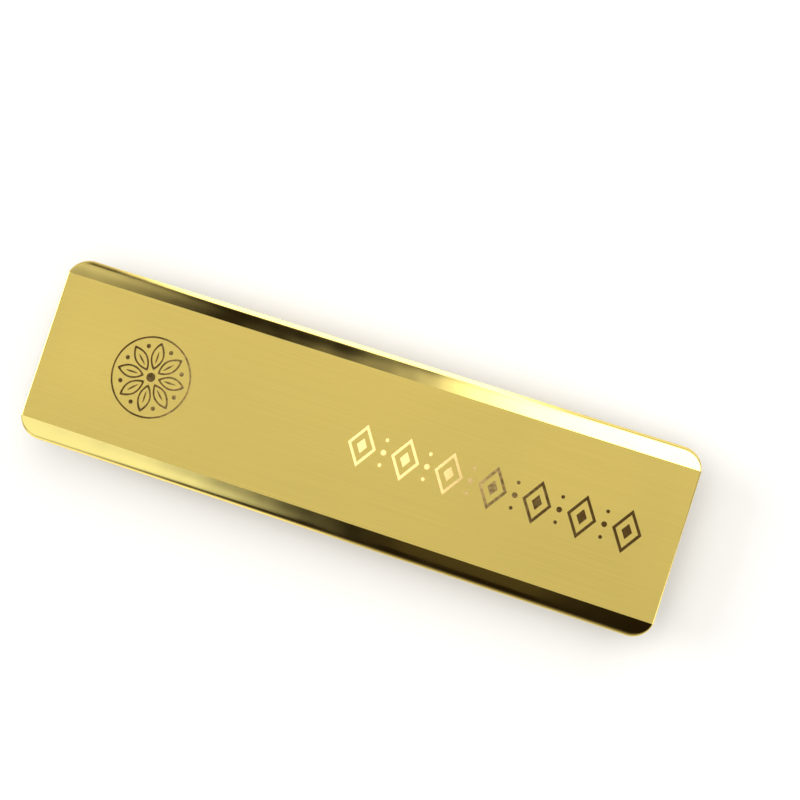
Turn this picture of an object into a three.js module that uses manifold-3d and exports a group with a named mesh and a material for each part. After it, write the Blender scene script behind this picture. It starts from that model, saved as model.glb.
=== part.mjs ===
// A metal name badge: a bevelled brass plate with a sprung pocket clip and a safety pin on its back.
// Millimetres. +X runs along the badge to the right as its face is read, +Y to its top edge and +Z out
// of its face. The badge lies face up on its fastener, and the origin is under its middle.
import * as THREE from "three";
import { mergeVertices } from "three/addons/utils/BufferGeometryUtils.js";
import Module from "manifold-3d";

const wasm = await Module();
wasm.setup();

// Plate
const plateLength = 70;
const plateWidth = 20;
const plateThickness = 1.5;
const cornerRadius = 2.3;
const bevelWidth = 1.95; // of the polished facet along each long edge
const bevelDrop = 0.65; // from the face down to the facet's outer edge
const edgeRound = 0.4;

// Stamped sheet of the clip and the pin bar
const sheet = 0.5;
const barInset = 2.9; // from the plate's top edge to the pin bar
const sideGap = 0.25; // between neighbours along the clip's axle

// Pin bar: catch, slotted strip and coil housing, one behind the other
const archHeight = 5.4; // catch and housing over the plate's back, on which the badge lies
const archWidth = 4.5;
const archRound = 1.6;
const catchLength = 7.4;
const catchMouth = 1.55; // from the catch's top down to the edge of its open side
const tipGap = 2.5; // between catch and strip, where the needle's tip comes out
const housingLength = 7.5;
const housingLeg = 3.45; // from the housing's top down to the edge of its near wall
const stripHeight = 3.9;
const stripInset = 0.6; // of the strip's far wall from the arches' far wall
const stripRound = 1.8;
const stripReach = 0.35; // of the strip's near edge past the arches' near side
const footWidth = 2.1;
const stripSlotStart = 7.4; // from the strip's end at the tip gap
const stripSlotLength = 5.35;
const stripSlotWidth = 1.8;
const slotRim = 0.45; // sheet left between the strip's slot and its near edge
const coilSlotStart = 1.4; // from the housing's end at the strip
const coilSlotLength = 4.3;
const strapWidth = 0.7; // of the low strap across the housing, under the needle
const notchGap = 0.25; // at each side of the needle, and under it

// Safety pin needle
const wireRadius = 0.35;
const coilRadius = 0.8; // of the wire's centre line round the post
const coilTurns = 2;
const turnPitch = 0.72;
const needleOffset = 0.3; // of the needle from the arches' middle line
const needleReach = 32.2; // from the coil to the point
const pointLength = 2.4;
const needleGap = 0.13; // under the catch, and between the needle and the table
const coilDrop = 0.3; // of the coil's top under the housing's top
const postRadius = 0.34;
const postGap = 0.1; // at each end of the post

// Clip: axle, spring and flap
const flapLength = 41;
const flapReach = 10.5; // from the axle to the roll's outer side
const rollHeight = 4.9;
const rollRadius = 2.15;
const rollEnd = THREE.MathUtils.degToRad(232);
const lipGap = 0.3; // between the flap's lip and the plate
const valleyDepth = 2.15; // of the flat band under the roll's top
const bandWidth = 2.3;
const riseDepth = 1; // of the flap's upper edge under the roll's top
const riseGap = 0.85; // between the pin bar and the flap's upper edge
const reliefWidth = 0.7; // by which the flap is cut back in front of the housing
const axleRadius = 0.45;
const axleInset = 1.3; // from the pin bar's near face to the axle
const axleOverhang = 0.4;
const axleDrop = 0.2; // between the axle and the needle's coil
const boreGap = 0.12; // round the axle in the ears
const earRadius = 1.2; // of the ears round the axle
const knuckleHeight = 4.3;
const knuckleRound = 0.9;
const knuckleLength = 1.9;
const baseEarLength = 1.3;
const baseReach = 10.6; // width of the base, from its far edge
const baseLeft = 0.5; // by which the base's end lies inside the flap's end
const springWire = 0.2; // radius
const springGap = 0.12; // round the axle
const springPitch = 0.8;
const springTurns = 14;
const springLeg = 1.5;

// Places in the fastener's own frame: X along the badge, Y to its top edge, and Z away from the
// plate's back.
const plateBack = archHeight;
const barFar = plateWidth / 2 - barInset;
const barNear = barFar - archWidth;
const needleY = barFar - archWidth / 2 + needleOffset;
const stripFar = barFar - stripInset;
const flapEnd = flapLength / 2;
const catchEnd = catchLength - flapEnd;
const stripStart = catchEnd + tipGap;
const knuckleStart = flapEnd - knuckleLength;
const baseEnd = knuckleStart - sideGap;
const baseEarStart = baseEnd - baseEarLength;
const housingEnd = baseEarStart - sideGap;
const housingStart = housingEnd - housingLength;
const coilX = housingStart + coilSlotStart + coilSlotLength / 2 + wireRadius / 2;
const coilZ = archHeight - coilDrop - wireRadius - coilRadius;
const axleY = barNear + axleInset;
const axleZ = coilZ - coilRadius - wireRadius - axleDrop - axleRadius;
const needleTopZ = archHeight - needleGap - wireRadius;
const needleCatchZ = archHeight - sheet - needleGap - wireRadius;
const riseY = barNear - riseGap;
const reliefY = riseY - reliefWidth;
const half = sheet / 2;
const rollY = axleY - flapReach + rollRadius;
const rollZ = rollHeight - rollRadius;
const bandY = rollY + rollRadius + bandWidth; // where the flat band turns up
const bandZ = rollHeight - valleyDepth;
const riseZ = rollHeight - riseDepth;

const ARC_STEPS = 6; // in a quarter turn of a bend
const ROUND = 16; // sides of a round hole or pin

// A closed geometry as a solid that can be joined and cut.
function solid(geometry) {
  const bare = geometry.index ? geometry.toNonIndexed() : geometry.clone();
  bare.deleteAttribute("normal");
  bare.deleteAttribute("uv");
  const merged = mergeVertices(bare, 1e-4);
  return new wasm.Manifold(
    new wasm.Mesh({
      numProp: 3,
      vertProperties: merged.attributes.position.array,
      triVerts: new Uint32Array(merged.index.array),
    }),
  );
}

// A joined or cut solid as a geometry again.
function geometryOf(made) {
  const mesh = made.getMesh();
  const geometry = new THREE.BufferGeometry();
  const places = new THREE.BufferAttribute(mesh.vertProperties, 3);
  geometry.setAttribute("position", places);
  geometry.setIndex(new THREE.BufferAttribute(mesh.triVerts, 1));
  geometry.computeVertexNormals();
  return geometry;
}

const X = new THREE.Vector3(1, 0, 0);
const Y = new THREE.Vector3(0, 1, 0);
const Z = new THREE.Vector3(0, 0, 1);

// A section, drawn with Y to the right and Z up, drawn out along X from one place to another.
function alongX(section, from, to) {
  const geometry = new THREE.ExtrudeGeometry(section, {
    depth: to - from,
    bevelEnabled: false,
    curveSegments: ARC_STEPS,
  });
  geometry.applyMatrix4(new THREE.Matrix4().makeBasis(Y, Z, X));
  return geometry.translate(from, 0, 0);
}

function block(x0, x1, y0, y1, z0, z1) {
  const box = new THREE.BoxGeometry(x1 - x0, y1 - y0, z1 - z0);
  return solid(box.translate((x0 + x1) / 2, (y0 + y1) / 2, (z0 + z1) / 2));
}

// A round pin along X, on the axle's line.
function onAxle(radius, from, to) {
  const pin = new THREE.CylinderGeometry(radius, radius, to - from, ROUND);
  return pin.rotateZ(Math.PI / 2).translate((from + to) / 2, axleY, axleZ);
}

// A bent sheet's section: its centre line, offset by half its thickness to each side.
function sheetSection(line) {
  const side = (sign) =>
    line.map((point, i) => {
      const next = line[Math.min(i + 1, line.length - 1)];
      const last = line[Math.max(i - 1, 0)];
      const into = point.clone().sub(last).normalize();
      const out = next.clone().sub(point).normalize();
      const run = into.clone().add(out).normalize();
      const normal = new THREE.Vector2(-run.y, run.x);
      const edge = i > 0 ? into : out;
      const mitre = normal.dot(new THREE.Vector2(-edge.y, edge.x));
      return point.clone().addScaledVector(normal, (sign * half) / mitre);
    });
  return new THREE.Shape([...side(1), ...side(-1).reverse()]);
}

// The points of a path, each once.
function pointsOf(path, steps) {
  return path
    .getPoints(steps)
    .filter((p, i, all) => i === 0 || p.distanceTo(all[i - 1]) > 1e-6);
}

// A round wire along a curve.
function wire(curve, radius, sides, steps) {
  const section = new THREE.Shape(
    Array.from({ length: sides }, (_, i) => {
      const turn = (2 * Math.PI * i) / sides;
      return new THREE.Vector2(radius * Math.cos(turn), radius * Math.sin(turn));
    }),
  );
  return new THREE.ExtrudeGeometry(section, { extrudePath: curve, steps });
}

function mesh(name, geometry, colour, roughness) {
  const material = new THREE.MeshStandardMaterial({ color: colour, roughness, metalness: 1 });
  const made = new THREE.Mesh(geometry, material);
  made.name = name;
  return made;
}

// Plate: a rounded rectangle with fine round edges, cut to a facet along each long edge.
function plate() {
  const x = plateLength / 2 - edgeRound;
  const y = plateWidth / 2 - edgeRound;
  const r = cornerRadius - edgeRound;
  const outline = new THREE.Shape();
  outline.absarc(x - r, y - r, r, 0, Math.PI / 2, false);
  outline.absarc(r - x, y - r, r, Math.PI / 2, Math.PI, false);
  outline.absarc(r - x, r - y, r, Math.PI, 1.5 * Math.PI, false);
  outline.absarc(x - r, r - y, r, 1.5 * Math.PI, 2 * Math.PI, false);
  const blank = new THREE.ExtrudeGeometry(new THREE.Shape(pointsOf(outline, ARC_STEPS)), {
    depth: plateThickness - 2 * edgeRound,
    bevelSize: edgeRound,
    bevelThickness: edgeRound,
    bevelSegments: 3,
  });
  blank.translate(0, 0, plateBack + edgeRound);

  const face = plateBack + plateThickness;
  const inner = plateWidth / 2 - bevelWidth;
  const slope = bevelDrop / bevelWidth;
  const outer = plateWidth / 2 + bevelWidth; // outside the plate on both sides
  const lowest = face - slope * (outer - inner);
  const section = new THREE.Shape([
    new THREE.Vector2(-outer, plateBack - plateThickness),
    new THREE.Vector2(outer, plateBack - plateThickness),
    new THREE.Vector2(outer, lowest),
    new THREE.Vector2(inner, face),
    new THREE.Vector2(-inner, face),
    new THREE.Vector2(-outer, lowest),
  ]);
  const cutter = solid(alongX(section, -plateLength, plateLength));
  return geometryOf(solid(blank).intersect(cutter));
}

// An arch of the pin bar: up the far wall from the foot, over the top and down the near side, whose
// bend stops early where its edge is higher than the bend's end.
function archLine(nearEnd) {
  const r = archRound - half;
  const z = archHeight - archRound;
  const end = Math.PI - Math.asin(Math.max(nearEnd - z, 0) / r);
  const path = new THREE.Path();
  path.moveTo(barFar - half, sheet);
  path.lineTo(barFar - half, z);
  path.absarc(barFar - archRound, z, r, 0, Math.PI / 2, false);
  path.absarc(barNear + archRound, z, r, Math.PI / 2, end, false);
  if (nearEnd < z) path.lineTo(barNear + half, nearEnd);
  return pointsOf(path, ARC_STEPS);
}

// Strip between the arches: a lower far wall, rounded over to a free near edge.
function stripLine() {
  const path = new THREE.Path();
  const r = stripRound - half;
  path.moveTo(stripFar - half, sheet);
  path.lineTo(stripFar - half, stripHeight - stripRound);
  path.absarc(stripFar - stripRound, stripHeight - stripRound, r, 0, Math.PI / 2, false);
  path.lineTo(barNear - stripReach, stripHeight - half);
  return pointsOf(path, ARC_STEPS);
}

function pinBar() {
  const clear = archHeight + sheet; // above every cut
  const slotX = stripStart + stripSlotStart;
  const slotY = barNear - stripReach + slotRim;
  const coilSlotX = housingStart + coilSlotStart;
  const catchLegEnd = archHeight - catchMouth;
  const housingLegEnd = archHeight - housingLeg;
  const coilY = needleY - (coilTurns * turnPitch) / 2;
  const coilHalf = (coilTurns * turnPitch) / 2 + wireRadius + needleGap;
  const strapX = housingStart + coilSlotStart / 2;
  const strapTop = needleTopZ - wireRadius - notchGap;
  const slotZ = archHeight - archRound;
  return geometryOf(
    block(-flapEnd, housingEnd, barFar - footWidth, barFar, sheet, 2 * sheet)
      .add(solid(alongX(sheetSection(archLine(catchLegEnd)), -flapEnd, catchEnd)))
      .add(solid(alongX(sheetSection(stripLine()), stripStart, housingStart)))
      .add(solid(alongX(sheetSection(archLine(housingLegEnd)), housingStart, housingEnd)))
      .subtract(
        block(slotX, slotX + stripSlotLength, slotY, slotY + stripSlotWidth, 2 * sheet, clear),
      )
      .subtract(
        block(coilSlotX, coilSlotX + coilSlotLength, coilY - coilHalf, coilY + coilHalf, slotZ, clear),
      )
      .subtract(
        block(
          housingStart - sheet,
          coilSlotX + sheet,
          needleY - wireRadius - notchGap,
          needleY + wireRadius + notchGap,
          slotZ,
          clear,
        ),
      )
      .add(
        block(
          strapX,
          strapX + strapWidth,
          barNear + half,
          barFar - half,
          strapTop - sheet,
          strapTop,
        ),
      ),
  );
}

// An ear's outline: round under the axle, with a far side and a rounded top.
function earOutline(radius, height, round, nearPoints) {
  const shape = new THREE.Shape();
  shape.absarc(axleY, axleZ, radius, -Math.PI / 2, 0, false);
  shape.absarc(axleY + radius - round, height - round, round, 0, Math.PI / 2, false);
  nearPoints.forEach(([y, z]) => shape.lineTo(y, z));
  return new THREE.Shape(pointsOf(shape, ARC_STEPS));
}

// Base: a strip on the plate, with one plain ear and one ear folded over as an arch.
function clipBase() {
  const left = baseLeft - flapEnd;
  const width = barFar - baseReach;
  const foot = [
    [axleY - earRadius, axleZ + earRadius],
    [axleY - earRadius, half],
    [axleY, half],
  ];
  const plain = earOutline(earRadius, axleZ + earRadius, earRadius / 2, foot);
  const near = barNear - sheet;
  const far = axleY + earRadius + half;
  const r = knuckleRound - half;
  const path = new THREE.Path();
  path.moveTo(far - half, half);
  path.absarc(far - knuckleRound, knuckleHeight - knuckleRound, r, 0, Math.PI / 2, false);
  path.absarc(near + knuckleRound, knuckleHeight - knuckleRound, r, Math.PI / 2, Math.PI, false);
  path.lineTo(near + half, half);
  const arch = pointsOf(path, ARC_STEPS);
  return geometryOf(
    block(left, baseEnd, width, barFar, 0, sheet)
      .add(solid(alongX(plain, left, left + sheet)))
      .add(solid(alongX(sheetSection(arch), baseEarStart, baseEnd)))
      .add(solid(alongX(new THREE.Shape(arch), baseEnd - sheet, baseEnd)))
      .subtract(solid(onAxle(axleRadius + boreGap, -flapEnd, flapEnd))),
  );
}

// Flap: the upper edge curves down to a flat band, and the band into the roll, which ends in the lip.
function flapLine() {
  const r = rollRadius - half;
  const path = new THREE.Path();
  path.moveTo(riseY, riseZ);
  path.quadraticCurveTo(bandY + sheet, bandZ, bandY - sheet, bandZ);
  path.lineTo(rollY + r, rollZ);
  path.absarc(rollY, rollZ, r, 0, rollEnd, false);
  path.lineTo(rollY + r * Math.cos(rollEnd) + half, lipGap + half);
  return pointsOf(path, 2 * ARC_STEPS);
}

function clipFlap() {
  const arm = [
    [riseY, riseZ - half],
    [bandY, bandZ],
    [bandY, bandZ - half],
  ];
  const far = axleY + earRadius + half;
  const r = knuckleRound - half;
  const path = new THREE.Path();
  path.moveTo(far - half, axleZ);
  path.absarc(far - knuckleRound, knuckleHeight - knuckleRound, r, 0, Math.PI / 2, false);
  path.lineTo(riseY + sheet, knuckleHeight - half);
  path.lineTo(riseY - half, riseZ - half);
  const knuckle = sheetSection(pointsOf(path, ARC_STEPS));
  const low = earOutline(earRadius, axleZ + earRadius, knuckleRound, arm);
  const high = earOutline(earRadius, knuckleHeight - half, knuckleRound, arm);
  const relief = block(
    housingStart - sideGap,
    knuckleStart,
    reliefY,
    barFar,
    0,
    archHeight + sheet,
  );
  return geometryOf(
    solid(alongX(sheetSection(flapLine()), -flapEnd, flapEnd))
      .subtract(relief)
      .add(solid(alongX(low, -flapEnd, sheet - flapEnd)))
      .add(solid(alongX(high, flapEnd - sheet, flapEnd)))
      .add(solid(alongX(knuckle, knuckleStart, flapEnd)))
      .subtract(solid(onAxle(axleRadius + boreGap, -flapLength, flapLength))),
  );
}

// Flap spring: a coil on the axle between its two straight legs, one on the pin bar's foot and one
// behind the flap's upper edge.
function flapSpring() {
  const r = axleRadius + springGap + springWire;
  const turns = springTurns + 0.5;
  const start = -(springTurns * springPitch) / 2;
  const stepsPerTurn = 8;
  const points = [new THREE.Vector3(start, axleY + springLeg, axleZ - r)];
  for (let i = 0; i <= turns * stepsPerTurn; i += 1) {
    const turn = -Math.PI / 2 - (2 * Math.PI * i) / stepsPerTurn;
    const x = start + (springPitch * i) / stepsPerTurn;
    points.push(new THREE.Vector3(x, axleY + r * Math.cos(turn), axleZ + r * Math.sin(turn)));
  }
  const end = points[points.length - 1];
  points.push(new THREE.Vector3(end.x, axleY - springLeg, end.z));
  const curve = new THREE.CatmullRomCurve3(points, false, "catmullrom", 0.5);
  return wire(curve, springWire, 6, points.length);
}

// Needle: its coil round the post, then a straight wire, slightly bowed, to the point in the catch.
function pinNeedle() {
  const stepsPerTurn = 12;
  const points = [];
  for (let i = 0; i <= coilTurns * stepsPerTurn; i += 1) {
    const turn = Math.PI / 2 + 2 * Math.PI * (i / stepsPerTurn - coilTurns);
    points.push(
      new THREE.Vector3(
        coilX + coilRadius * Math.cos(turn),
        needleY - turnPitch * (coilTurns - i / stepsPerTurn),
        coilZ + coilRadius * Math.sin(turn),
      ),
    );
  }
  const shankEnd = coilX - needleReach + pointLength;
  const mouth = new THREE.Vector3(catchEnd, needleY, needleCatchZ);
  points.push(new THREE.Vector3(housingStart, needleY, needleTopZ));
  points.push(new THREE.Vector3((housingStart + stripStart) / 2, needleY, needleTopZ));
  points.push(mouth);
  points.push(new THREE.Vector3(shankEnd, needleY, needleCatchZ - wireRadius));
  const curve = new THREE.CatmullRomCurve3(points, false, "centripetal");
  const shank = wire(curve, wireRadius, 8, 72);
  const along = curve.getTangent(1);
  const cone = new THREE.ConeGeometry(wireRadius, pointLength, 8);
  cone.applyQuaternion(new THREE.Quaternion().setFromUnitVectors(Y, along));
  const sunk = 0.02; // of the cone's foot in the wire's end
  const tip = points[points.length - 1].clone().addScaledVector(along, pointLength / 2 - sunk);
  cone.translate(tip.x, tip.y, tip.z);
  return geometryOf(solid(shank).add(solid(cone)));
}

function needlePost() {
  const length = archWidth - 2 * sheet - 2 * postGap;
  const post = new THREE.CylinderGeometry(postRadius, postRadius, length, ROUND);
  return post.translate(coilX, barFar - archWidth / 2, coilZ);
}

// The fastener's own frame is the badge's, turned half round Y, with its origin on the plate's back.
const axleEnd = flapEnd + axleOverhang;
const fastener = new THREE.Group();
fastener.rotation.y = Math.PI;
fastener.position.z = plateBack;
fastener.add(
  mesh("clip_base", clipBase(), 0xd9b440, 0.25),
  mesh("pin_bar", pinBar(), 0xe6bd2e, 0.12),
  mesh("hinge_axle", onAxle(axleRadius, -axleEnd, axleEnd), 0xd9b440, 0.2),
  mesh("flap_spring", flapSpring(), 0x6a665c, 0.3),
  mesh("clip_flap", clipFlap(), 0xe6bd2e, 0.12),
  mesh("needle_post", needlePost(), 0x8f8b82, 0.3),
  mesh("pin_needle", pinNeedle(), 0x8f8b86, 0.25),
);

const badge = new THREE.Group();
badge.add(mesh("badge_plate", plate(), 0xcdb962, 0.35), fastener);

export default badge;
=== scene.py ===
import math

import bmesh
import bpy
from mathutils import Matrix, Vector


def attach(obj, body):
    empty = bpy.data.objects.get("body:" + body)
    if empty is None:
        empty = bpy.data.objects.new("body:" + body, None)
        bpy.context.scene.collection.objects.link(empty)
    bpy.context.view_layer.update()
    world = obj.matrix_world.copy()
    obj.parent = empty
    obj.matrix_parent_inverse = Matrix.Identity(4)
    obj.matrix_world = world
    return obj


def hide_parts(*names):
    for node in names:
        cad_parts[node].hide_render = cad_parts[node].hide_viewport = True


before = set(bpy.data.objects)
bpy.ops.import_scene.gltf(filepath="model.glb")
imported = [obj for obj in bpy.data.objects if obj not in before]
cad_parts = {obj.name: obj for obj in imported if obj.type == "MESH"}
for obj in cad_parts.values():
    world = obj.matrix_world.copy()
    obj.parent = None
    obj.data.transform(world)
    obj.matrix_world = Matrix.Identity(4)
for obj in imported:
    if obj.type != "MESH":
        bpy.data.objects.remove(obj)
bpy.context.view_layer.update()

# Plate: drawn from brass strip 1.5 mm thick, its face and back brushed to a fine satin. Each long
# edge has a facet that rolls over into the rim, both polished like a mirror. The strip is cut to
# length, its ends are barely rounded, and then it is gold plated.
MM = 0.001
plate_length = 70.0
plate_width = 20.0
corner_radius = 2.3
facet_width = 1.95
facet_drop = 0.65
facet_crown = 0.1
edge_roll = 0.55
end_round = 0.16
arris_round = 0.12
ARRIS_TURN = math.radians(54)
back_round = 0.2
plate_back = 5.4
plate_face = 6.9
CORNER_STEPS = 28
RIM_STEPS = 8
ARRIS_STEPS = 4
FACET_STEPS = 12
HALVINGS = 50
least_step_deg = 0.2
probe = 0.001
same_place = 1e-6
plate_crease_deg = 14


def linear(hex_colour):
    """An sRGB hex colour as the linear colour that a shader takes."""
    parts = [int(hex_colour[i : i + 2], 16) / 255 for i in (1, 3, 5)]
    return [c / 12.92 if c <= 0.04045 else ((c + 0.055) / 1.055) ** 2.4 for c in parts] + [1.0]


def add_node(tree, kind, settings=None, links=None):
    """Adds a node, sets its attributes and sockets, and links its inputs to (node, output)."""
    made = tree.nodes.new(kind)
    for name, value in (settings or {}).items():
        if isinstance(name, str) and hasattr(made, name):
            setattr(made, name, value)
        else:
            made.inputs[name].default_value = value
    for name, (other, output) in (links or {}).items():
        tree.links.new(other.outputs[output], made.inputs[name])
    return made


def new_finish(name):
    """An empty material with no nodes yet, and the tree that its own nodes go into."""
    finish = bpy.data.materials.new(name)
    finish.use_nodes = True
    finish.node_tree.nodes.clear()
    return finish, finish.node_tree


def close_finish(tree, shader):
    """Links the shader to the material's output."""
    add_node(tree, "ShaderNodeOutputMaterial", links={"Surface": (shader, "BSDF")})


def new_piece(name, points, faces, finishes, face_finish=None):
    """A closed mesh from points in millimetres, with its faces turned outwards."""
    mesh = bpy.data.meshes.new(name)
    mesh.from_pydata([Vector(p) * MM for p in points], [], faces)
    for finish in finishes:
        mesh.materials.append(finish)
    if face_finish:
        mesh.polygons.foreach_set("material_index", face_finish)
    shell = bmesh.new()
    shell.from_mesh(mesh)
    bmesh.ops.recalc_face_normals(shell, faces=shell.faces)
    shell.to_mesh(mesh)
    shell.free()
    piece = bpy.data.objects.new(name, mesh)
    bpy.context.scene.collection.objects.link(piece)
    return piece


def skin_faces(rings, count):
    """The faces between closed rings of points, each ring joined to the next."""
    faces = []
    for level in range(rings - 1):
        a, b = level * count, (level + 1) * count
        for i in range(count):
            j = (i + 1) % count
            faces.append((a + i, a + j, b + j, b + i))
    return faces


def combine(piece, other, operation):
    """Cuts the other mesh from the piece, or joins the two into one closed skin."""
    step = piece.modifiers.new("combine", "BOOLEAN")
    step.operation = operation
    step.solver = "EXACT"
    step.material_mode = "TRANSFER"
    step.object = other
    graph = bpy.context.evaluated_depsgraph_get()
    made = bpy.data.meshes.new_from_object(piece.evaluated_get(graph), depsgraph=graph)
    old = piece.data
    piece.modifiers.clear()
    piece.data = made
    bpy.data.meshes.remove(old)
    bpy.data.objects.remove(other)
    return piece


def smooth(piece, crease_deg):
    """Smooth shading that keeps creases, with the large flat faces kept flat to the eye."""
    piece.data.shade_smooth()
    piece.data.set_sharp_from_angle(angle=math.radians(crease_deg))
    level = piece.modifiers.new("level", "WEIGHTED_NORMAL")
    level.keep_sharp = True
    level.weight = 100
    return piece


# Gold-plated satin brass: a soft pale gold whose fine lines run along the badge, so that lights
# spread across them. The lines of a 400 grit belt are about 0.04 mm apart, drawn here at 0.12 mm.
satin_brass, tree = new_finish("brushed_gold_plated_brass")
place = add_node(tree, "ShaderNodeTexCoord")
stretch = add_node(
    tree, "ShaderNodeMapping", {"Scale": (60.0, 8000.0, 8000.0)}, {"Vector": (place, "Object")}
)
lines = add_node(
    tree,
    "ShaderNodeTexNoise",
    {"Scale": 1.0, "Detail": 3.0, "Roughness": 0.6},
    {"Vector": (stretch, "Vector")},
)
cloud = add_node(
    tree, "ShaderNodeTexNoise", {"Scale": 90.0, "Detail": 1.0}, {"Vector": (place, "Object")}
)
tint = add_node(tree, "ShaderNodeValToRGB", {}, {"Fac": (lines, "Fac")})
tint.color_ramp.elements[0].position = 0.25
tint.color_ramp.elements[0].color = linear("#DCC56C")
tint.color_ramp.elements[1].position = 0.75
tint.color_ramp.elements[1].color = linear("#E3CC72")
uneven = add_node(
    tree,
    "ShaderNodeMapRange",
    {"From Min": 0.3, "From Max": 0.7, "To Min": 0.46, "To Max": 0.52},
    {"Value": (cloud, "Fac")},
)
grooves = add_node(
    tree, "ShaderNodeBump", {"Strength": 0.04, "Distance": 0.00002}, {"Height": (lines, "Fac")}
)
along = add_node(tree, "ShaderNodeTangent", {"direction_type": "RADIAL", "axis": "X"})
shader = add_node(
    tree,
    "ShaderNodeBsdfPrincipled",
    {"Metallic": 1.0, "Anisotropic": 0.35},
    {
        "Base Color": (tint, "Color"),
        "Roughness": (uneven, "Result"),
        "Normal": (grooves, "Normal"),
        "Tangent": (along, "Tangent"),
    },
)
close_finish(tree, shader)

# Mirror-polished gold plate on brass: deep yellow where it reflects light and brown where it
# reflects the dark. Buffing leaves it very slightly wavy, over some 4 mm.
polished_brass, tree = new_finish("buffed_gold_plated_brass")
place = add_node(tree, "ShaderNodeTexCoord")
buffing = add_node(
    tree, "ShaderNodeTexNoise", {"Scale": 250.0, "Detail": 1.0}, {"Vector": (place, "Object")}
)
waves = add_node(
    tree, "ShaderNodeBump", {"Strength": 0.03, "Distance": 0.0004}, {"Height": (buffing, "Fac")}
)
haze = add_node(
    tree,
    "ShaderNodeMapRange",
    {"From Min": 0.35, "From Max": 0.65, "To Min": 0.07, "To Max": 0.12},
    {"Value": (buffing, "Fac")},
)
shader = add_node(
    tree,
    "ShaderNodeBsdfPrincipled",
    {"Metallic": 1.0, "Base Color": linear("#F7DF84")},
    {"Roughness": (haze, "Result"), "Normal": (waves, "Normal")},
)
close_finish(tree, shader)

# Etched marks: bare brass under the plating's mask, bright and smooth, a little redder than the face.
etched_brass, tree = new_finish("bright_etched_brass")
place = add_node(tree, "ShaderNodeTexCoord")
etch = add_node(
    tree, "ShaderNodeTexNoise", {"Scale": 2500.0, "Detail": 2.0}, {"Vector": (place, "Object")}
)
pits = add_node(
    tree, "ShaderNodeBump", {"Strength": 0.01, "Distance": 0.00002}, {"Height": (etch, "Fac")}
)
haze = add_node(
    tree,
    "ShaderNodeMapRange",
    {"From Min": 0.35, "From Max": 0.65, "To Min": 0.08, "To Max": 0.14},
    {"Value": (etch, "Fac")},
)
shader = add_node(
    tree,
    "ShaderNodeBsdfPrincipled",
    {"Metallic": 1.0, "Base Color": linear("#EFD08A")},
    {"Roughness": (haze, "Result"), "Normal": (pits, "Normal")},
)
close_finish(tree, shader)


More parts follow.
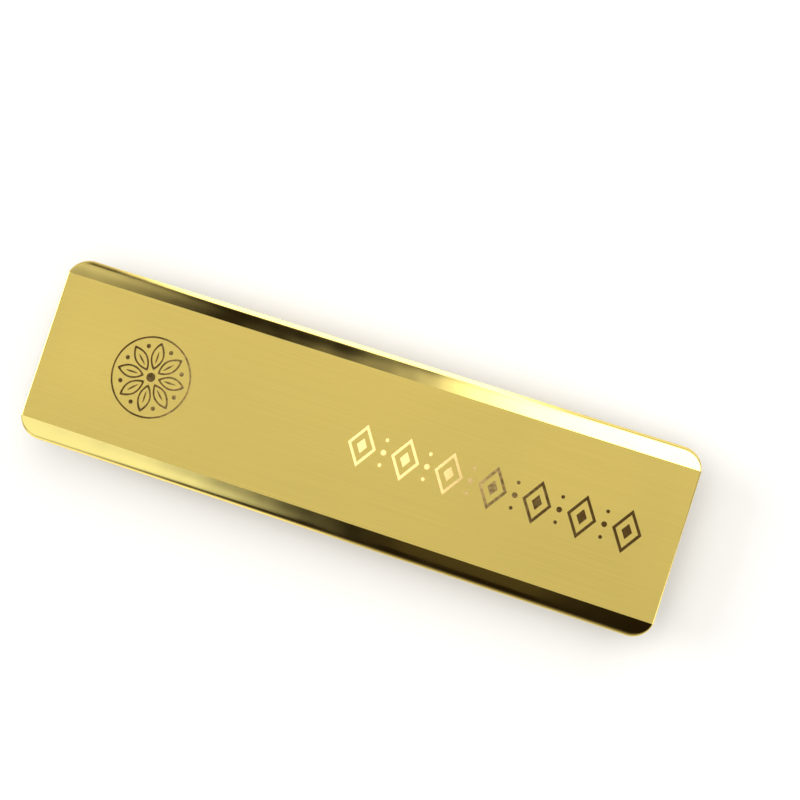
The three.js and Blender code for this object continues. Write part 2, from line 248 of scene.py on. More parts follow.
def plate_mesh():
    """Rings up the rounded rim, closed by the satin back, the satin face and the crowned facets."""
    inner = plate_width / 2 - facet_width
    centre_x = plate_length / 2 - corner_radius
    centre_y = plate_width / 2 - corner_radius

    def rim(turn):
        """How far in from the outline the rim's round reaches: far on a long edge, little at an end."""
        return end_round + (edge_roll - end_round) * math.sin(turn) ** 2

    def across(turn):
        """How far across the plate the rim's round ends at a corner's turn."""
        return centre_y + (corner_radius - rim(turn)) * math.sin(turn)

    def turn_at(y):
        """The corner's turn, in degrees, at which the round ends that far across."""
        low, high = 0.0, math.pi / 2
        for _ in range(HALVINGS):
            middle = (low + high) / 2
            low, high = (middle, high) if across(middle) < y else (low, middle)
        return math.degrees(low)

    reach = plate_width / 2 - edge_roll - inner
    levels = [inner + reach * k / FACET_STEPS for k in range(FACET_STEPS)]
    folds = [turn_at(y) for y in levels]
    steps = [90.0 * i / CORNER_STEPS for i in range(CORNER_STEPS + 1)]
    first = sorted([a for a in steps if min(abs(a - f) for f in folds) > least_step_deg] + folds)
    second = [90.0 - a for a in first[::-1]]
    corners = ((1, 1, 0, first), (-1, 1, 90, second), (-1, -1, 180, first), (1, -1, 270, second))
    turns = [(sx, sy, math.radians(start + a)) for sx, sy, start, run in corners for a in run]
    count = len(turns)

    def top(y):
        """The facet bulges by a little, the more so towards the rim, as a polishing belt leaves it."""
        t = max(abs(y) - inner, 0.0) / facet_width
        return plate_face - facet_drop * (t + facet_crown * (t**4 - t))

    def back_ring(level):
        """One ring of the plain round at the back edge."""
        a = math.pi / 2 * level / RIM_STEPS
        reach = corner_radius - back_round * (1 - math.cos(a))
        z = plate_back + back_round * (1 - math.sin(a))
        return [
            (sx * centre_x + reach * math.cos(t), sy * centre_y + reach * math.sin(t), z)
            for sx, sy, t in turns
        ]

    def face_ring(level):
        """One ring of the rim: a tight arris over the side wall, then the roll on to the facet's slope."""
        out = []
        for sx, sy, turn in turns:
            y_in = sy * centre_y + (corner_radius - rim(turn)) * math.sin(turn)
            slope = (top(abs(y_in)) - top(abs(y_in) + probe)) / probe * abs(math.sin(turn))
            last = math.pi / 2 - math.atan(slope)
            roll = rim(turn) - arris_round * (1 - math.cos(ARRIS_TURN))
            roll /= math.cos(ARRIS_TURN) - math.cos(last)
            a = ARRIS_TURN * min(level / ARRIS_STEPS, 1)
            b = ARRIS_TURN + (last - ARRIS_TURN) * max(level - ARRIS_STEPS, 0) / RIM_STEPS
            inset = arris_round * (1 - math.cos(a)) + roll * (math.cos(ARRIS_TURN) - math.cos(b))
            below = arris_round * (math.sin(ARRIS_TURN) - math.sin(a))
            below += roll * (math.sin(last) - math.sin(b))
            x = sx * centre_x + (corner_radius - inset) * math.cos(turn)
            y = sy * centre_y + (corner_radius - inset) * math.sin(turn)
            out.append((x, y, top(y_in) - below))
        return out

    points = []
    for i in range(RIM_STEPS, -1, -1):
        points += back_ring(i)
    for i in range(ARRIS_STEPS + RIM_STEPS + 1):
        points += face_ring(i)
    rings = len(points) // count
    faces = skin_faces(rings, count)
    finish = [1] * len(faces)
    last = (rings - 1) * count

    def crossings(y):
        """The two points of the last ring that lie that far across."""
        return [i for i in range(count) if abs(points[last + i][1] - y) < same_place]

    faces.append(tuple(range(count))[::-1])
    finish.append(0)
    for sign in (1, -1):
        marks = [crossings(sign * y) for y in levels]
        for (c, d), (a, b) in zip(marks[1:], marks):
            faces.append(tuple(last + i for i in list(range(a, c + 1)) + list(range(d, b + 1))))
            finish.append(1)
        a, b = marks[-1]
        faces.append(tuple(last + i for i in range(a, b + 1)))
        finish.append(1)
        if sign > 0:
            right_fold, left_fold = marks[0]
        else:
            lower_left, lower_right = marks[0]
    middle = list(range(left_fold, lower_left + 1)) + list(range(lower_right, count))
    middle += list(range(right_fold + 1))
    faces.append(tuple(last + i for i in middle))
    finish.append(0)
    return new_piece("plate", points, faces, [satin_brass, polished_brass], finish)


# Ornament: a rosette near the left end of the face, and a border of lozenges along its middle. Both
# are etched 0.05 mm deep, which leaves their floors bright.
etch_depth = 0.05
rosette_centre = (-22.6, 0.0)
rosette_radius = 4.4
hub_radius = 0.5
petal_count = 8
petal_ends = (0.8, 3.85)
petal_half = 0.72
petal_fullness = 0.8
petal_floor_ends = (1.12, 3.5)
vein_ends = (1.45, 2.9)
vein_half = 0.1
spot_radius = 0.24
spot_distance = 3.35
line_width = 0.2
border_start = 1.2
lozenge_count = 7
lozenge_pitch = 4.75
lozenge_half = (1.55, 2.3)
lozenge_inside = 0.76
lozenge_heart = 0.36
dot_radius = 0.2
middle_dot_radius = 0.3
dot_spread = 1.35
RING_STEPS = 96
HUB_STEPS = 32
SPOT_STEPS = 20
PETAL_STEPS = 20
VEIN_STEPS = 8

cut_points = []
cut_faces = []


def etch_shape(outer, inner=None):
    """Adds a prism over a flat outline, or over the band between an outline and one inside it."""
    low = plate_face - etch_depth
    high = plate_face + etch_depth
    loops = [outer] if inner is None else [outer, inner]
    n = len(outer)
    starts = []
    for loop in loops:
        for z in (low, high):
            starts.append(len(cut_points))
            cut_points.extend((x, y, z) for x, y in loop)
    for k, loop in enumerate(loops):
        bottom, top = starts[2 * k], starts[2 * k + 1]
        for i in range(n):
            j = (i + 1) % n
            cut_faces.append((bottom + i, bottom + j, top + j, top + i))
    for side in (0, 1):
        if inner is None:
            cut_faces.append(tuple(starts[side] + i for i in range(n)))
            continue
        a, b = starts[side], starts[side + 2]
        for i in range(n):
            j = (i + 1) % n
            cut_faces.append((a + i, a + j, b + j, b + i))


def circle(centre, radius, steps):
    """A round outline."""
    turns = [2 * math.pi * i / steps for i in range(steps)]
    return [(centre[0] + radius * math.cos(t), centre[1] + radius * math.sin(t)) for t in turns]


def petal(turn, start, end, half_width, steps):
    """A pointed oval from one distance to another along a turned line."""
    out = []
    for side in (-1, 1):
        for i in range(steps):
            t = i / steps if side < 0 else 1 - i / steps
            along_line = start + (end - start) * t
            across = side * half_width * math.sin(math.pi * t) ** petal_fullness
            out.append((along_line, across))
    c, s = math.cos(turn), math.sin(turn)
    x0, y0 = rosette_centre
    return [(x0 + c * a - s * b, y0 + s * a + c * b) for a, b in out]


etch_shape(
    circle(rosette_centre, rosette_radius, RING_STEPS),
    circle(rosette_centre, rosette_radius - line_width, RING_STEPS),
)
etch_shape(circle(rosette_centre, hub_radius, HUB_STEPS))
for k in range(petal_count):
    turn = 2 * math.pi * k / petal_count
    etch_shape(
        petal(turn, *petal_ends, petal_half, PETAL_STEPS),
        petal(turn, *petal_floor_ends, petal_half - line_width, PETAL_STEPS),
    )
    etch_shape(petal(turn, *vein_ends, vein_half, VEIN_STEPS))
    between = turn + math.pi / petal_count
    x = rosette_centre[0] + spot_distance * math.cos(between)
    y = rosette_centre[1] + spot_distance * math.sin(between)
    etch_shape(circle((x, y), spot_radius, SPOT_STEPS))


def lozenge(centre_x, scale):
    """A lozenge on the border's middle line."""
    w, h = lozenge_half[0] * scale, lozenge_half[1] * scale
    return [(centre_x + w, 0.0), (centre_x, h), (centre_x - w, 0.0), (centre_x, -h)]


dots = ((-dot_spread, dot_radius), (0.0, middle_dot_radius), (dot_spread, dot_radius))
for k in range(lozenge_count):
    x = border_start + lozenge_pitch * k
    etch_shape(lozenge(x, 1.0), lozenge(x, lozenge_inside))
    etch_shape(lozenge(x, lozenge_heart))
    if k < lozenge_count - 1:
        for rise, radius in dots:
            etch_shape(circle((x + lozenge_pitch / 2, rise), radius, SPOT_STEPS))

ornament = new_piece("ornament_cutter", cut_points, cut_faces, [etched_brass])
plate = combine(plate_mesh(), ornament, "DIFFERENCE")
smooth(plate, plate_crease_deg)
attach(plate, "badge")
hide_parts("badge_plate")

# Clip base: a strip of steel sheet 0.5 mm thick, blanked, folded and gold plated, then glued to the
# plate's back. It carries the axle in a plain ear at one end and a folded one at the other.
sheet = 0.5
cut_edge = 0.08
least_run = 0.02
least_ear_run = 0.03
least_end_run = 1.6 * cut_edge
least_mitre = 0.5
least_ear_mitre = 0.4
BEND_STEPS = 24
EDGE_STEPS = 3
PIN_EDGE_STEPS = 5
PIN_SIDES = 48


def turned(x, y, h):
    """A place in the fastener's own frame, which looks away from the plate's back."""
    return (-x, y, plate_back - h)


def bend(y, h, radius, start_deg, end_deg, steps=BEND_STEPS):
    """Points of a bend about a place, from one direction to another."""
    turns = [math.radians(start_deg + (end_deg - start_deg) * i / steps) for i in range(steps + 1)]
    return [(y + radius * math.cos(a), h + radius * math.sin(a)) for a in turns]


def without_repeats(line, least):
    """The line's points, each at least so far from the one before."""
    out = [line[0]]
    for p in line[1:]:
        if math.dist(p, out[-1]) > least:
            out.append(p)
    return out


def sheet_ring(line, inset):
    """The outline of a bent sheet, with its two cut edges rounded, all set in by a little."""
    half = sheet / 2 - inset
    round_edge = cut_edge - inset
    pts = [Vector(p) for p in line]
    into = [(pts[min(i + 1, len(pts) - 1)] - pts[max(i - 1, 0)]).normalized() for i in range(len(pts))]
    left, right = [], []
    for i in range(1, len(pts) - 1):
        normal = Vector((-into[i].y, into[i].x))
        before = (pts[i] - pts[i - 1]).normalized()
        reach = half / max(normal.dot(Vector((-before.y, before.x))), least_mitre)
        left.append(pts[i] + normal * reach)
        right.append(pts[i] - normal * reach)

    def cap(point, run):
        """A rounded cut edge, where the line runs on from its end."""
        side = Vector((-run.y, run.x))
        out = []
        for sign in (-1, 1):
            centre = point + run * (inset + round_edge) + side * sign * (half - round_edge)
            for k in range(EDGE_STEPS + 1):
                a = math.pi / 2 * (k if sign < 0 else EDGE_STEPS - k) / EDGE_STEPS
                back = round_edge * math.sin(a)
                out.append(centre + side * (sign * round_edge * math.cos(a)) - run * back)
        return out

    start = cap(pts[0], (pts[1] - pts[0]).normalized())
    end = cap(pts[-1], (pts[-2] - pts[-1]).normalized())
    return start + left + end + right[::-1], len(start), len(left)


def extrude_rings(name, ring_of, x0, x1, caps, finish):
    """Draws a section out along the badge, with the edges at both ends rounded."""
    stations = []
    for k in range(EDGE_STEPS + 1):
        a = math.pi / 2 * k / EDGE_STEPS
        stations.append((x0 + cut_edge * (1 - math.cos(a)), cut_edge * (1 - math.sin(a))))
    stations += [(x0 + x1 - x, inset) for x, inset in stations[::-1]]
    points = [turned(x, y, h) for x, inset in stations for y, h in ring_of(inset)]
    count = len(points) // len(stations)
    faces = skin_faces(len(stations), count)
    last = (len(stations) - 1) * count
    for cap in caps:
        faces.append(tuple(cap)[::-1])
        faces.append(tuple(last + i for i in cap))
    return new_piece(name, points, faces, [finish])


def bent_sheet(name, line, x0, x1, finish):
    """A bent sheet from its middle line, drawn out along the badge."""
    line = without_repeats(line, least_run)
    while math.dist(line[0], line[1]) < least_end_run:
        del line[1]
    while math.dist(line[-1], line[-2]) < least_end_run:
        del line[-2]
    ring, s, n = sheet_ring(line, 0.0)
    count = len(ring)
    left = [s + i for i in range(n)]
    right = [count - 1 - i for i in range(n)]
    caps = [list(range(s)) + ([left[0], right[0]] if n else [])]
    caps += [[right[i], left[i], left[i + 1], right[i + 1]] for i in range(n - 1)]
    if n:
        caps.append([left[-1]] + [s + n + i for i in range(s)] + [right[-1]])
    return extrude_rings(name, lambda inset: sheet_ring(line, inset)[0], x0, x1, caps, finish)


def flat_ear(name, outline, x0, x1, finish):
    """A flat ear from its outline, with its edges rounded."""
    outline = [Vector(p) for p in without_repeats(outline, least_ear_run)]
    n = len(outline)
    area = sum(a.x * b.y - b.x * a.y for a, b in zip(outline, outline[1:] + outline[:1]))
    sign = 1 if area > 0 else -1

    def ring(inset):
        """The outline, set in by a little all round."""
        out = []
        for i in range(n):
            before = (outline[i] - outline[i - 1]).normalized()
            after = (outline[(i + 1) % n] - outline[i]).normalized()
            inward = Vector((-(before + after).y, (before + after).x)).normalized() * sign
            reach = inset / max(inward.dot(Vector((-before.y, before.x))) * sign, least_ear_mitre)
            out.append(outline[i] + inward * reach)
        return [(p.x, p.y) for p in out]

    return extrude_rings(name, ring, x0, x1, [list(range(n))], finish)


def round_pin(name, radius, x0, x1, y, h, finish, sides=PIN_SIDES, edge=cut_edge):
    """A round pin along the badge, its ends rounded by a little."""
    profile = []
    for k in range(PIN_EDGE_STEPS + 1):
        a = math.pi / 2 * k / PIN_EDGE_STEPS
        profile.append((x0 + edge * (1 - math.cos(a)), radius - edge * (1 - math.sin(a))))
    profile += [(x0 + x1 - x, r) for x, r in profile[::-1]]
    points = []
    for x, r in profile:
        for i in range(sides):
            a = 2 * math.pi * i / sides
            points.append(turned(x, y + r * math.cos(a), h + r * math.sin(a)))
    faces = skin_faces(len(profile), sides)
    last = (len(profile) - 1) * sides
    faces.append(tuple(range(sides))[::-1])
    faces.append(tuple(last + i for i in range(sides)))
    return new_piece(name, points, faces, [finish])


def plain_box(x0, x1, y0, y1, h0, h1):
    """A box in the fastener's own frame, to cut with or to join."""
    points = [turned(x, y, h) for x in (x0, x1) for y in (y0, y1) for h in (h0, h1)]
    faces = [(0, 1, 3, 2), (4, 6, 7, 5), (0, 4, 5, 1), (2, 3, 7, 6), (0, 2, 6, 4), (1, 5, 7, 3)]
    return new_piece("box", points, faces, [plated_steel])


# Gold plate on polished steel sheet: deeper and yellower than the face, like a mirror, with the
# long soft waves that rolled and stamped sheet keeps, some 2 mm long.
plated_steel, tree = new_finish("gold_plated_stamped_steel")
place = add_node(tree, "ShaderNodeTexCoord")
stamped = add_node(
    tree, "ShaderNodeMapping", {"Scale": (90.0, 500.0, 500.0)}, {"Vector": (place, "Object")}
)
rolling = add_node(
    tree,
    "ShaderNodeTexNoise",
    {"Scale": 1.0, "Detail": 2.0, "Roughness": 0.45},
    {"Vector": (stamped, "Vector")},
)
waves = add_node(
    tree, "ShaderNodeBump", {"Strength": 0.12, "Distance": 0.0003}, {"Height": (rolling, "Fac")}
)
depth = add_node(tree, "ShaderNodeValToRGB", {}, {"Fac": (rolling, "Fac")})
depth.color_ramp.elements[0].position = 0.3
depth.color_ramp.elements[0].color = linear("#F2CC3A")
depth.color_ramp.elements[1].position = 0.7
depth.color_ramp.elements[1].color = linear("#F7D650")
haze = add_node(
    tree,
    "ShaderNodeMapRange",
    {"From Min": 0.35, "From Max": 0.65, "To Min": 0.07, "To Max": 0.12},
    {"Value": (rolling, "Fac")},
)
shader = add_node(
    tree,
    "ShaderNodeBsdfPrincipled",
    {"Metallic": 1.0},
    {"Base Color": (depth, "Color"), "Roughness": (haze, "Result"), "Normal": (waves, "Normal")},
)
close_finish(tree, shader)

bar_far = 7.1
bar_near = 2.6
axle_y = 3.9
axle_h = 2.15
bore = 0.57
bore_end = 30.0
ear_radius = 1.2
ear_play = 0.03
knuckle_height = 4.3
knuckle_round = 0.9
base_left = -20.0
base_right = 18.35
base_near = -3.5
folded_ear_start = 17.05
sheet_crease_deg = 32


def ear_outline(height, round_top, near_points):
    """Round under the axle, straight up the far side, over a rounded top and down the near points."""
    line = bend(axle_y, axle_h, ear_radius, -90, 0)
    line += bend(axle_y + ear_radius - round_top, height - round_top, round_top, 0, 90)
    return line + near_points


base_line = [(base_near, sheet / 2), (0.0, sheet / 2), (bar_far, sheet / 2)]
base = bent_sheet("clip_base_strip", base_line, base_left, base_right, plated_steel)
ear_near = axle_y - ear_radius
plain_ear = ear_outline(
    axle_h + ear_radius,
    ear_radius / 2,
    [(ear_near, axle_h + ear_radius), (ear_near, sheet / 2), (axle_y, sheet / 2)],
)
far = axle_y + ear_radius + sheet / 2
near = bar_near - sheet
r = knuckle_round - sheet / 2
arch = [(far - sheet / 2, sheet / 2)]
arch += bend(far - knuckle_round, knuckle_height - knuckle_round, r, 0, 90)
arch += bend(near + knuckle_round, knuckle_height - knuckle_round, r, 90, 180)
arch += [(near + sheet / 2, sheet / 2)]
for part in (
    flat_ear("ear", plain_ear, base_left + ear_play, base_left + sheet, plated_steel),
    bent_sheet("ear", arch, folded_ear_start, base_right, plated_steel),
    flat_ear("ear", arch, base_right - sheet, base_right, plated_steel),
):
    combine(base, part, "UNION")
combine(base, round_pin("bore", bore, -bore_end, bore_end, axle_y, axle_h, plated_steel), "DIFFERENCE")
smooth(base, sheet_crease_deg)
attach(base, "badge")
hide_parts("clip_base")

# Pin bar: one stamping of the same plated sheet, spot welded to the base. At one end it arches over
# into the catch, in the middle it is a low slotted strip, and at the other end it houses the coil.
arch_height = 5.4
arch_round = 1.6
catch_end = -13.1
strip_start = -10.6
housing_start = 9.3
housing_end = 16.8
flap_end = 20.5
foot_near = 5.0
foot_middle = 6.0
catch_side = 1.55
housing_side = 3.45
strip_far = 6.5
strip_round = 1.8
strip_height = 3.9
strip_lip = 0.35
strip_lap = 0.1
slot_ends = (-3.2, 2.15)
slot_sides = (2.7, 4.5)
coil_slot_start = 10.7
coil_slot_end = 15.0
coil_play = 0.13
notch_play = 0.25
strap_width = 0.7
strap_drop = 0.6
wire_radius = 0.35
coil_turns = 2
turn_pitch = 0.72
needle_y = 5.15
needle_top = 4.92
slot_base = arch_height - arch_round


def arch_line(near_end):
    """The arch's middle line, whose bend stops early where the edge is higher than the bend's end."""
    r = arch_round - sheet / 2
    rise = max(near_end - slot_base, 0.0)
    end = 180 - math.degrees(math.asin(rise / r))
    line = [(bar_far - sheet / 2, sheet)]
    line += bend(bar_far - arch_round, slot_base, r, 0, 90)
    line += bend(bar_near + arch_round, slot_base, r, 90, end)
    if near_end < slot_base:
        line.append((bar_near + sheet / 2, near_end))
    return line


strip_line = [(strip_far - sheet / 2, sheet)]
strip_line += bend(strip_far - strip_round, strip_height - strip_round, strip_round - sheet / 2, 0, 90)
strip_line += [(bar_near - strip_lip, strip_height - sheet / 2)]
foot_h = sheet + sheet / 2
foot_line = [(foot_near, foot_h), (foot_middle, foot_h), (bar_far, foot_h)]
bar = bent_sheet("pin_bar_foot", foot_line, -flap_end, housing_end, plated_steel)
for part in (
    bent_sheet("catch", arch_line(arch_height - catch_side), -flap_end, catch_end, plated_steel),
    bent_sheet("strip", strip_line, strip_start, housing_start + strip_lap, plated_steel),
    bent_sheet("housing", arch_line(arch_height - housing_side), housing_start, housing_end, plated_steel),
):
    combine(bar, part, "UNION")
clear = arch_height + sheet
combine(bar, plain_box(*slot_ends, *slot_sides, 2 * sheet, clear), "DIFFERENCE")
coil_ends = (coil_slot_start, coil_slot_end)
coil_sides = (
    needle_y - coil_turns * turn_pitch - wire_radius - coil_play,
    needle_y + wire_radius + coil_play,
)
combine(bar, plain_box(*coil_ends, *coil_sides, slot_base, clear), "DIFFERENCE")
notch_ends = (housing_start - sheet, coil_slot_start + sheet)
notch_half = wire_radius + notch_play
notch_sides = (needle_y - notch_half, needle_y + notch_half)
combine(bar, plain_box(*notch_ends, *notch_sides, slot_base, clear), "DIFFERENCE")
strap_ends = (coil_slot_start - strap_width, coil_slot_start)
strap_sides = (bar_near + sheet / 2, bar_far - sheet / 2)
strap_top = needle_top - strap_drop
combine(bar, plain_box(*strap_ends, *strap_sides, strap_top - sheet, strap_top), "UNION")
smooth(bar, sheet_crease_deg)
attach(bar, "badge")
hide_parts("pin_bar")

# Needle: nickel-plated spring steel wire 0.7 mm thick, wound twice round a plain hidden post in the
# housing, then straight with a slight bow to a ground point in the catch.
coil_radius = 0.8
coil_x = 13.025
coil_h = 3.95
needle_reach = 32.2
needle_catch = 4.42
point_length = 2.4
point_radius = 0.015
point_fullness = 1.15
post_radius = 0.34
post_play = 0.1
wire_crease_deg = 40
COIL_STEPS = 12
SPAN_STEPS = 6
POINT_STEPS = 12
WIRE_SIDES = 24
POST_SIDES = 32

spring_wire, tree = new_finish("nickel_plated_spring_steel")
place = add_node(tree, "ShaderNodeTexCoord")
drawing = add_node(
    tree, "ShaderNodeMapping", {"Scale": (60.0, 6000.0, 6000.0)}, {"Vector": (place, "Object")}
)
marks = add_node(
    tree, "ShaderNodeTexNoise", {"Scale": 1.0, "Detail": 2.0}, {"Vector": (drawing, "Vector")}
)
haze = add_node(
    tree,
    "ShaderNodeMapRange",
    {"From Min": 0.3, "From Max": 0.7, "To Min": 0.18, "To Max": 0.3},
    {"Value": (marks, "Fac")},
)
scores = add_node(
    tree, "ShaderNodeBump", {"Strength": 0.1, "Distance": 0.00002}, {"Height": (marks, "Fac")}
)
shader = add_node(
    tree,
    "ShaderNodeBsdfPrincipled",
    {"Metallic": 1.0, "Base Color": linear("#B5AFA8")},
    {"Roughness": (haze, "Result"), "Normal": (scores, "Normal")},
)
close_finish(tree, shader)


def smooth_path(knots, per_span):
    """A centripetal curve through the knots."""
    pts = [Vector(k) for k in knots]
    pts = [pts[0] * 2 - pts[1]] + pts + [pts[-1] * 2 - pts[-2]]
    out = []
    for i in range(1, len(pts) - 2):
        p0, p1, p2, p3 = pts[i - 1 : i + 3]
        t0 = 0.0
        t1 = t0 + (p1 - p0).length ** 0.5
        t2 = t1 + (p2 - p1).length ** 0.5
        t3 = t2 + (p3 - p2).length ** 0.5
        for k in range(per_span):
            t = t1 + (t2 - t1) * k / per_span
            a1 = p0.lerp(p1, (t - t0) / (t1 - t0))
            a2 = p1.lerp(p2, (t - t1) / (t2 - t1))
            a3 = p2.lerp(p3, (t - t2) / (t3 - t2))
            b1 = a1.lerp(a2, (t - t0) / (t2 - t0))
            b2 = a2.lerp(a3, (t - t1) / (t3 - t1))
            out.append(b1.lerp(b2, (t - t1) / (t2 - t1)))
    return out + [pts[-2]]


def round_wire(name, path, radii, sides, finish):
    """A round wire along a path, with its thickness given at each point and its ends closed."""
    tangents = [
        (path[min(i + 1, len(path) - 1)] - path[max(i - 1, 0)]).normalized() for i in range(len(path))
    ]
    side = tangents[0].orthogonal().normalized()
    points = []
    for p, t, r in zip(path, tangents, radii):
        side = (side - t * side.dot(t)).normalized()
        other = t.cross(side)
        for i in range(sides):
            a = 2 * math.pi * i / sides
            points.append(turned(*(p + (side * math.cos(a) + other * math.sin(a)) * r)))
    faces = skin_faces(len(path), sides)
    last = (len(path) - 1) * sides
    faces.append(tuple(range(sides))[::-1])
    faces.append(tuple(last + i for i in range(sides)))
    return new_piece(name, points, faces, [finish])


knots = []
for i in range(coil_turns * COIL_STEPS + 1):
    a = math.pi / 2 + 2 * math.pi * (i / COIL_STEPS - coil_turns)
    y = needle_y - turn_pitch * (coil_turns - i / COIL_STEPS)
    knots.append((coil_x + coil_radius * math.cos(a), y, coil_h + coil_radius * math.sin(a)))
knots += [
    (housing_start, needle_y, needle_top),
    ((housing_start + strip_start) / 2, needle_y, needle_top),
    (catch_end, needle_y, needle_catch),
    (coil_x - needle_reach + point_length, needle_y, needle_catch - wire_radius),
]
path = smooth_path(knots, SPAN_STEPS)
heading = (path[-1] - path[-2]).normalized()
end = path[-1]
radii = [wire_radius] * len(path)
for k in range(1, POINT_STEPS + 1):
    path.append(end + heading * (point_length * k / POINT_STEPS))
    radii.append(max(wire_radius * (1 - (k / POINT_STEPS) ** point_fullness), point_radius))
needle = smooth(round_wire("needle_wire", path, radii, WIRE_SIDES, spring_wire), wire_crease_deg)
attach(needle, "needle")
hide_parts("pin_needle")

post_points = []
for y in (bar_near + sheet + post_play, bar_far - sheet - post_play):
    for i in range(POST_SIDES):
        a = 2 * math.pi * i / POST_SIDES
        x, h = coil_x + post_radius * math.cos(a), coil_h + post_radius * math.sin(a)
        post_points.append(turned(x, y, h))
post_faces = skin_faces(2, POST_SIDES)
post_faces += [tuple(range(POST_SIDES))[::-1], tuple(range(POST_SIDES, 2 * POST_SIDES))]
post = smooth(new_piece("coil_post", post_points, post_faces, [spring_wire]), wire_crease_deg)
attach(post, "badge")
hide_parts("needle_post")

# Axle and flap spring: a plated steel pin 0.9 mm thick through all the ears, and on it a coil of
# thin bare spring wire, with one leg on the pin bar's foot and one behind the flap's upper edge.
axle_radius = 0.45
axle_end = 20.9
axle_dome = 0.15
spring_radius = 0.2
spring_play = 0.12
spring_turns = 14
spring_pitch = 0.8
spring_leg = 1.5
spring_crease_deg = 50
AXLE_SIDES = 40
SPRING_STEPS = 16
SPRING_SPAN_STEPS = 2
SPRING_SIDES = 12

drawn_pin, tree = new_finish("gold_plated_drawn_wire")
place = add_node(tree, "ShaderNodeTexCoord")
drawing = add_node(
    tree, "ShaderNodeMapping", {"Scale": (80.0, 5000.0, 5000.0)}, {"Vector": (place, "Object")}
)
marks = add_node(
    tree, "ShaderNodeTexNoise", {"Scale": 1.0, "Detail": 2.0}, {"Vector": (drawing, "Vector")}
)
haze = add_node(
    tree,
    "ShaderNodeMapRange",
    {"From Min": 0.3, "From Max": 0.7, "To Min": 0.14, "To Max": 0.24},
    {"Value": (marks, "Fac")},
)
scores = add_node(
    tree, "ShaderNodeBump", {"Strength": 0.08, "Distance": 0.00002}, {"Height": (marks, "Fac")}
)
shader = add_node(
    tree,
    "ShaderNodeBsdfPrincipled",
    {"Metallic": 1.0, "Base Color": linear("#EDC84A")},
    {"Roughness": (haze, "Result"), "Normal": (scores, "Normal")},
)
close_finish(tree, shader)

axle = round_pin(
    "axle_pin", axle_radius, -axle_end, axle_end, axle_y, axle_h, drawn_pin, AXLE_SIDES, axle_dome
)
smooth(axle, wire_crease_deg)
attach(axle, "badge")
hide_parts("hinge_axle")

r = axle_radius + spring_play + spring_radius
start_x = -spring_turns * spring_pitch / 2
knots = [(start_x, axle_y + spring_leg, axle_h - r)]
for i in range(int((spring_turns + 0.5) * SPRING_STEPS) + 1):
    a = -math.pi / 2 - 2 * math.pi * i / SPRING_STEPS
    x = start_x + spring_pitch * i / SPRING_STEPS
    knots.append((x, axle_y + r * math.cos(a), axle_h + r * math.sin(a)))
knots.append((knots[-1][0], axle_y - spring_leg, knots[-1][2]))
path = smooth_path(knots, SPRING_SPAN_STEPS)
radii = [spring_radius] * len(path)
spring = smooth(round_wire("flap_coil", path, radii, SPRING_SIDES, spring_wire), spring_crease_deg)
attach(spring, "badge")
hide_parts("flap_spring")

# Flap: the clip's moving jaw, stamped of the same plated sheet. Its upper edge runs down to a flat
# band, the band into a smooth roll, and the roll ends in a lip that grips the cloth.
roll_height = 4.9
roll_radius = 2.15
roll_y = -4.45
roll_h = roll_height - roll_radius
roll_end_deg = 232
lip_gap = 0.3
band_y = 0.0
band_h = 2.75
rise_y = 1.75
rise_h = 3.9
relief_start = 9.05
relief_near = 1.05
knuckle_start = 18.6
ROLL_STEPS = 96

r = roll_radius - sheet / 2
flap_line = []
for i in range(BEND_STEPS + 1):
    t = i / BEND_STEPS
    y = (1 - t) ** 2 * rise_y + 2 * t * (1 - t) * (band_y + sheet) + t**2 * (band_y - sheet)
    h = (1 - t) ** 2 * rise_h + 2 * t * (1 - t) * band_h + t**2 * band_h
    flap_line.append((y, h))
flap_line += bend(roll_y, roll_h, r, 0, roll_end_deg, ROLL_STEPS)
flap_line.append((flap_line[-1][0] + sheet / 2, lip_gap + sheet / 2))
flap = bent_sheet("clip_flap_sheet", flap_line, -flap_end, flap_end, plated_steel)
combine(flap, plain_box(relief_start, knuckle_start, relief_near, bar_far, 0.0, clear), "DIFFERENCE")
arm = [(rise_y, rise_h - sheet / 2), (band_y, band_h), (band_y, band_h - sheet / 2)]
far = axle_y + ear_radius + sheet / 2
r = knuckle_round - sheet / 2
knuckle = [(far - sheet / 2, axle_h)]
knuckle += bend(far - knuckle_round, knuckle_height - knuckle_round, r, 0, 90)
knuckle += [(rise_y + sheet, knuckle_height - sheet / 2), (rise_y - sheet / 2, rise_h - sheet / 2)]
low_ear = ear_outline(axle_h + ear_radius, knuckle_round, arm)
high_ear = ear_outline(knuckle_height - sheet / 2, knuckle_round, arm)
for part in (
    flat_ear("ear", low_ear, -flap_end, sheet - flap_end, plated_steel),
    flat_ear("ear", high_ear, flap_end - sheet, flap_end, plated_steel),
    bent_sheet("knuckle", knuckle, knuckle_start, flap_end, plated_steel),
):
    combine(flap, part, "UNION")
combine(flap, round_pin("bore", bore, -bore_end, bore_end, axle_y, axle_h, plated_steel), "DIFFERENCE")
smooth(flap, sheet_crease_deg)
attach(flap, "flap")
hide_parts("clip_flap")

# Table: a plain matt board of warm white, wide enough to fill every view.
board_reach = 8000.0

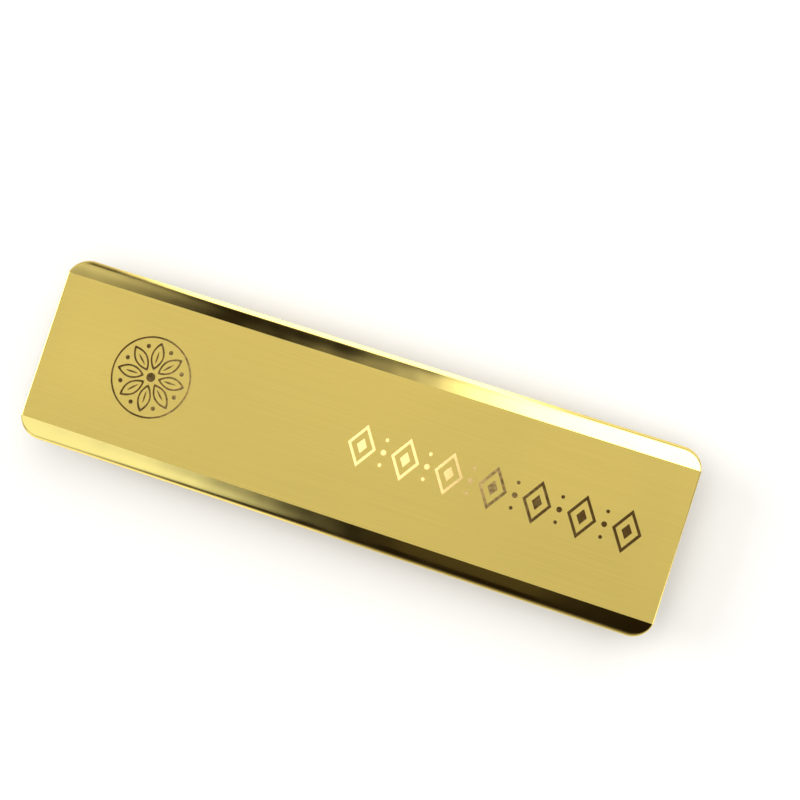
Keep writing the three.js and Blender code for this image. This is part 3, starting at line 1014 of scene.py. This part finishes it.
matt_board, tree = new_finish("matt_white_board")
place = add_node(tree, "ShaderNodeTexCoord")
fibre = add_node(
    tree, "ShaderNodeTexNoise", {"Scale": 900.0, "Detail": 2.0}, {"Vector": (place, "Object")}
)
grain = add_node(
    tree, "ShaderNodeBump", {"Strength": 0.05, "Distance": 0.00005}, {"Height": (fibre, "Fac")}
)
shader = add_node(
    tree,
    "ShaderNodeBsdfPrincipled",
    {"Base Color": linear("#BFBEBB"), "Roughness": 0.8},
    {"Normal": (grain, "Normal")},
)
close_finish(tree, shader)
board_corners = [(x * board_reach, y * board_reach, 0) for x, y in ((-1, -1), (1, -1), (1, 1), (-1, 1))]
board = new_piece("table_board", board_corners, [(0, 1, 2, 3)], [matt_board])

# Light: a pale room that is dark overhead, and softboxes, each placed for what it shows as. The far
# ones draw the white end and the pale lip of the upper facet, the near ones the pale left end and
# the brown right end of the lower facet, and the strip overhead shows in some of the etched marks.
cloth_fade = 0.16

room = bpy.data.worlds.new("studio_room")
room.use_nodes = True
tree = room.node_tree
tree.nodes.clear()
place = add_node(tree, "ShaderNodeTexCoord")
split = add_node(tree, "ShaderNodeSeparateXYZ", {}, {"Vector": (place, "Generated")})
height = add_node(tree, "ShaderNodeValToRGB", {}, {"Fac": (split, "Z")})
shades = (
    (0.0, "#DDDCD9"),
    (0.3, "#D0CCC4"),
    (0.48, "#6A645B"),
    (0.62, "#241C14"),
    (0.8, "#1E1710"),
    (1.0, "#55483A"),
)
for i, (rise, shade) in enumerate(shades):
    stop = height.color_ramp.elements[i] if i < 2 else height.color_ramp.elements.new(rise)
    stop.position = rise
    stop.color = linear(shade)
sky = add_node(tree, "ShaderNodeBackground", {"Strength": 1.0}, {"Color": (height, "Color")})
add_node(tree, "ShaderNodeOutputWorld", {}, {"Surface": (sky, "Background")})
bpy.context.scene.world = room


def softbox(name, place, aim, size, brightness, colour="#FFFFFF"):
    """An oblong soft light at a place, turned to shine on another. Its cloth is as bright as a lit
    white sheet times the brightness in its middle, and fades to its edges. Cameras don't see it."""
    lamp = bpy.data.lights.new(name, "AREA")
    lamp.shape = "RECTANGLE"
    lamp.size, lamp.size_y = [s * MM for s in size]
    lamp.energy = brightness * math.pi * lamp.size * lamp.size_y
    lamp.color = linear(colour)[:3]
    lamp.use_nodes = True
    tree = lamp.node_tree
    tree.nodes.clear()
    cloth = add_node(tree, "ShaderNodeNewGeometry")
    sides = add_node(tree, "ShaderNodeSeparateXYZ", {}, {"Vector": (cloth, "Parametric")})
    fades = []
    for side in ("X", "Y"):
        other = add_node(tree, "ShaderNodeMath", {"operation": "SUBTRACT", 0: 1.0}, {1: (sides, side)})
        product = add_node(
            tree, "ShaderNodeMath", {"operation": "MULTIPLY"}, {0: (sides, side), 1: (other, "Value")}
        )
        fades.append(
            add_node(
                tree,
                "ShaderNodeMapRange",
                {"interpolation_type": "SMOOTHSTEP", "From Max": cloth_fade},
                {"Value": (product, "Value")},
            )
        )
    both = add_node(
        tree,
        "ShaderNodeMath",
        {"operation": "MULTIPLY"},
        {0: (fades[0], "Result"), 1: (fades[1], "Result")},
    )
    glow = add_node(tree, "ShaderNodeEmission", {}, {"Strength": (both, "Value")})
    add_node(tree, "ShaderNodeOutputLight", {}, {"Surface": (glow, "Emission")})
    box = bpy.data.objects.new(name, lamp)
    box.location = Vector(place) * MM
    box.rotation_euler = (Vector(aim) - Vector(place)).to_track_quat("-Z", "Y").to_euler()
    box.visible_camera = False
    bpy.context.scene.collection.objects.link(box)


softbox("overhead_strip", (-110, 95, 600), (-110, 95, 0), (156, 730), 1.75)
softbox("far_right_box", (230, 478, 547), (100, 0, 0), (700, 340), 4.3)
softbox("far_low_box", (-122, 560, 207), (-96, 0, 0), (225, 570), 2.6)
softbox("far_faint_box", (110, 560, 290), (60, 0, 0), (420, 330), 0.55)
softbox("far_left_box", (-480, 500, 520), (-130, 0, 0), (420, 420), 0.7)
softbox("near_left_box", (-430, -487, 538), (-110, 0, 0), (540, 420), 1.26, "#EEF6FF")
softbox("near_faint_box", (-38, -425, 570), (14, -9, 7), (110, 80), 0.055, "#FFEDB8")
softbox("near_low_box", (-245, -560, 120), (-60, 0, 0), (340, 380), 0.6)
softbox("overhead_right", (270, 0, 600), (270, 0, 0), (340, 800), 1.0)
softbox("right_fill", (760, -260, 420), (0, 0, 0), (600, 500), 3.0)

# A large window far off to the left, and a plain ceiling that is too dull to show in polished metal
# but lights the matt table alike as far as it goes.
for name, energy, spread, direction in (
    ("window", 2.0, 32.0, (0.82, 0.0, -0.57)),
    ("ceiling", 3.0, 70.0, (0.0, 0.0, -1.0)),
):
    far_light = bpy.data.lights.new(name, "SUN")
    far_light.energy = energy
    far_light.angle = math.radians(spread)
    opening = bpy.data.objects.new(name, far_light)
    opening.rotation_euler = Vector(direction).to_track_quat("-Z", "Y").to_euler()
    opening.visible_glossy = name == "window"
    bpy.context.scene.collection.objects.link(opening)

# Camera: a 72 mm lens on a full frame, 17 cm above the badge and nearly straight over it.
focal_length = 72.0
frame_width = 36.0
nearest_seen = 10.0
farthest_seen = 20000.0
camera_place = (28.5, -0.2, 170.55)
camera_forward = (-0.1507, 0.0357, -0.9879)
camera_right = (0.9421, 0.3081, -0.1326)

lens = bpy.data.cameras.new("camera")
lens.lens = focal_length
lens.sensor_width = frame_width
lens.clip_start = nearest_seen * MM
lens.clip_end = farthest_seen * MM
camera = bpy.data.objects.new("camera", lens)
forward = Vector(camera_forward).normalized()
right = Vector(camera_right)
right = (right - forward * right.dot(forward)).normalized()
up = right.cross(forward)
turn = Matrix((right, up, -forward)).transposed().to_4x4()
camera.matrix_world = Matrix.Translation(Vector(camera_place) * MM) @ turn
bpy.context.scene.collection.objects.link(camera)
bpy.context.scene.camera = camera
bpy.context.scene.view_settings.view_transform = "Standard"
bpy.context.scene.view_settings.look = "None"
